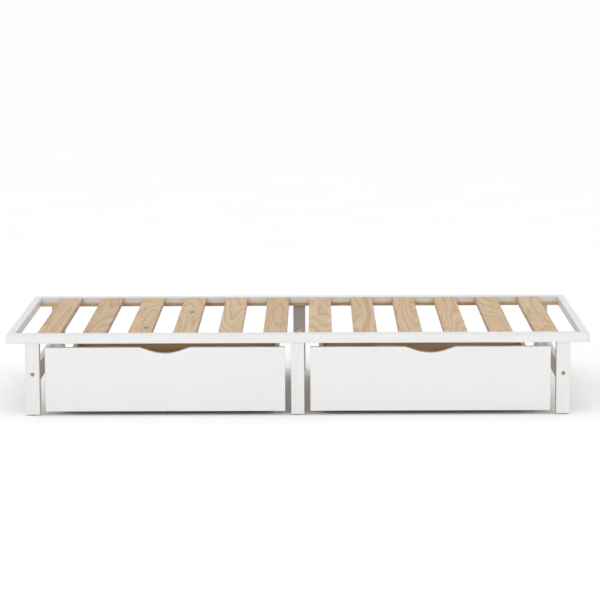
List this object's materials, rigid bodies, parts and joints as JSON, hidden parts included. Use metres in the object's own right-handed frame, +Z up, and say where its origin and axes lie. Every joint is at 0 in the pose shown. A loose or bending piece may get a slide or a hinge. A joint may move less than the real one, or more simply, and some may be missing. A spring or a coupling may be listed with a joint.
{
  "type": "bed frame",
  "caption": "Low single bed frame: slatted platform on square legs, with rolling drawers underneath that have shallow hand cut-outs.",
  "frame": {"origin": "on the floor, under the middle of the platform", "axes": "+X along the bed, +Z up, -Y the side that the drawers open to"},
  "size_m": [2.03, 0.94, 0.285],
  "materials": {
    "white_painted_wood": "satin white paint",
    "bare_pine": "bare, planed",
    "beech": "bare",
    "brass_plated_steel": "yellow zinc plated",
    "zinc_plated_steel": "bright zinc plated",
    "castor_plastic": "matt moulded",
    "felt": "pressed felt"
  },
  "bodies": {
    "frame": {"front_rail": "white_painted_wood", "back_rail": "white_painted_wood", "left_end_rail": "white_painted_wood", "right_end_rail": "white_painted_wood", "front_left_leg": "white_painted_wood", "front_centre_leg": "white_painted_wood", "front_right_leg": "white_painted_wood", "back_left_leg": "white_painted_wood", "back_centre_leg": "white_painted_wood", "back_right_leg": "white_painted_wood", "left_cross_rail": "white_painted_wood", "centre_cross_rail": "white_painted_wood", "right_cross_rail": "white_painted_wood", "front_ledge": "bare_pine", "back_ledge": "bare_pine", "slat_01": "bare_pine", "slat_02": "bare_pine", "slat_03": "bare_pine", "slat_04": "bare_pine", "slat_05": "bare_pine", "slat_06": "bare_pine", "slat_07": "bare_pine", "slat_08": "bare_pine", "slat_09": "bare_pine", "slat_10": "bare_pine", "slat_11": "bare_pine", "slat_12": "bare_pine", "connector_bolts": "brass_plated_steel", "barrel_nuts": "brass_plated_steel", "leg_screws": "zinc_plated_steel", "wood_screws": "zinc_plated_steel", "frame_dowels": "beech", "leg_glides": "felt"},
    "left_drawer": {"left_drawer_front": "white_painted_wood", "left_drawer_left_side": "bare_pine", "left_drawer_right_side": "bare_pine", "left_drawer_back": "bare_pine", "left_drawer_bottom": "bare_pine", "left_drawer_dowels": "beech", "left_drawer_screws": "zinc_plated_steel", "left_drawer_castor_brackets": "zinc_plated_steel", "left_drawer_castor_axles": "zinc_plated_steel"},
    "left_drawer_wheel_1": {"left_drawer_wheel_1": "castor_plastic"},
    "left_drawer_wheel_2": {"left_drawer_wheel_2": "castor_plastic"},
    "left_drawer_wheel_3": {"left_drawer_wheel_3": "castor_plastic"},
    "left_drawer_wheel_4": {"left_drawer_wheel_4": "castor_plastic"},
    "right_drawer": {"right_drawer_front": "white_painted_wood", "right_drawer_left_side": "bare_pine", "right_drawer_right_side": "bare_pine", "right_drawer_back": "bare_pine", "right_drawer_bottom": "bare_pine", "right_drawer_dowels": "beech", "right_drawer_screws": "zinc_plated_steel", "right_drawer_castor_brackets": "zinc_plated_steel", "right_drawer_castor_axles": "zinc_plated_steel"},
    "right_drawer_wheel_1": {"right_drawer_wheel_1": "castor_plastic"},
    "right_drawer_wheel_2": {"right_drawer_wheel_2": "castor_plastic"},
    "right_drawer_wheel_3": {"right_drawer_wheel_3": "castor_plastic"},
    "right_drawer_wheel_4": {"right_drawer_wheel_4": "castor_plastic"}
  },
  "joints": [
    {"name": "left_drawer_slide", "type": "slide", "parent": "frame", "child": "left_drawer", "axis": [0, -1, 0], "range_m": [0, 0.7]},
    {"name": "left_drawer_wheel_1_spin", "type": "hinge", "parent": "left_drawer", "child": "left_drawer_wheel_1", "pos_m": [-0.802, -0.34, 0.019], "axis": [1, 0, 0], "continuous": true},
    {"name": "left_drawer_wheel_2_spin", "type": "hinge", "parent": "left_drawer", "child": "left_drawer_wheel_2", "pos_m": [-0.802, 0.28, 0.019], "axis": [1, 0, 0], "continuous": true},
    {"name": "left_drawer_wheel_3_spin", "type": "hinge", "parent": "left_drawer", "child": "left_drawer_wheel_3", "pos_m": [-0.122, -0.34, 0.019], "axis": [1, 0, 0], "continuous": true},
    {"name": "left_drawer_wheel_4_spin", "type": "hinge", "parent": "left_drawer", "child": "left_drawer_wheel_4", "pos_m": [-0.122, 0.28, 0.019], "axis": [1, 0, 0], "continuous": true},
    {"name": "right_drawer_slide", "type": "slide", "parent": "frame", "child": "right_drawer", "axis": [0, -1, 0], "range_m": [0, 0.7]},
    {"name": "right_drawer_wheel_1_spin", "type": "hinge", "parent": "right_drawer", "child": "right_drawer_wheel_1", "pos_m": [0.122, -0.34, 0.019], "axis": [1, 0, 0], "continuous": true},
    {"name": "right_drawer_wheel_2_spin", "type": "hinge", "parent": "right_drawer", "child": "right_drawer_wheel_2", "pos_m": [0.122, 0.28, 0.019], "axis": [1, 0, 0], "continuous": true},
    {"name": "right_drawer_wheel_3_spin", "type": "hinge", "parent": "right_drawer", "child": "right_drawer_wheel_3", "pos_m": [0.802, -0.34, 0.019], "axis": [1, 0, 0], "continuous": true},
    {"name": "right_drawer_wheel_4_spin", "type": "hinge", "parent": "right_drawer", "child": "right_drawer_wheel_4", "pos_m": [0.802, 0.28, 0.019], "axis": [1, 0, 0], "continuous": true}
  ],
  "couplings": [
    {"joint": "left_drawer_wheel_1_spin", "follows": "left_drawer_slide", "rad_per_m": 52.632},
    {"joint": "left_drawer_wheel_2_spin", "follows": "left_drawer_slide", "rad_per_m": 52.632},
    {"joint": "left_drawer_wheel_3_spin", "follows": "left_drawer_slide", "rad_per_m": 52.632},
    {"joint": "left_drawer_wheel_4_spin", "follows": "left_drawer_slide", "rad_per_m": 52.632},
    {"joint": "right_drawer_wheel_1_spin", "follows": "right_drawer_slide", "rad_per_m": 52.632},
    {"joint": "right_drawer_wheel_2_spin", "follows": "right_drawer_slide", "rad_per_m": 52.632},
    {"joint": "right_drawer_wheel_3_spin", "follows": "right_drawer_slide", "rad_per_m": 52.632},
    {"joint": "right_drawer_wheel_4_spin", "follows": "right_drawer_slide", "rad_per_m": 52.632}
  ]
}
